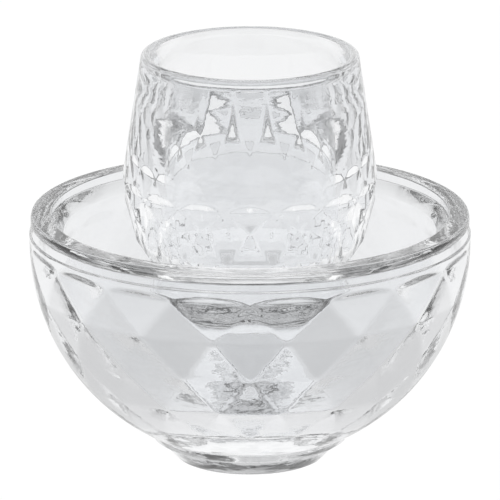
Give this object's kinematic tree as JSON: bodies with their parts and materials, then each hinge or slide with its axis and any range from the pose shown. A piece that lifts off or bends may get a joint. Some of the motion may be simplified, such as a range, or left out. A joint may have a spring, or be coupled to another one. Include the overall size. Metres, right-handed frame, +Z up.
{
  "type": "dappen dish",
  "caption": "Clear glass dappen dish: a thick round bowl on a solid foot, faceted inside, with a stepped rim, and a barrel-shaped cup that stands in it and lifts out.",
  "frame": {"origin": "centre of the bowl's foot, on the surface that it stands on", "axes": "+Z up, along the common axis of the bowl and the cup; the object looks the same from every side, and -Y is taken as its front"},
  "size_m": [0.0642, 0.0642, 0.0607],
  "materials": {
    "bowl_glass": "clear polished pressed glass",
    "cup_glass": "clear polished pressed glass"
  },
  "bodies": {
    "bowl": {"bowl": "bowl_glass"},
    "cup": {"inner_cup": "cup_glass"}
  },
  "joints": [
    {"name": "cup_lift", "type": "slide", "parent": "bowl", "child": "cup", "axis": [0, 0, 1], "range_m": [0, 0.032]}
  ]
}
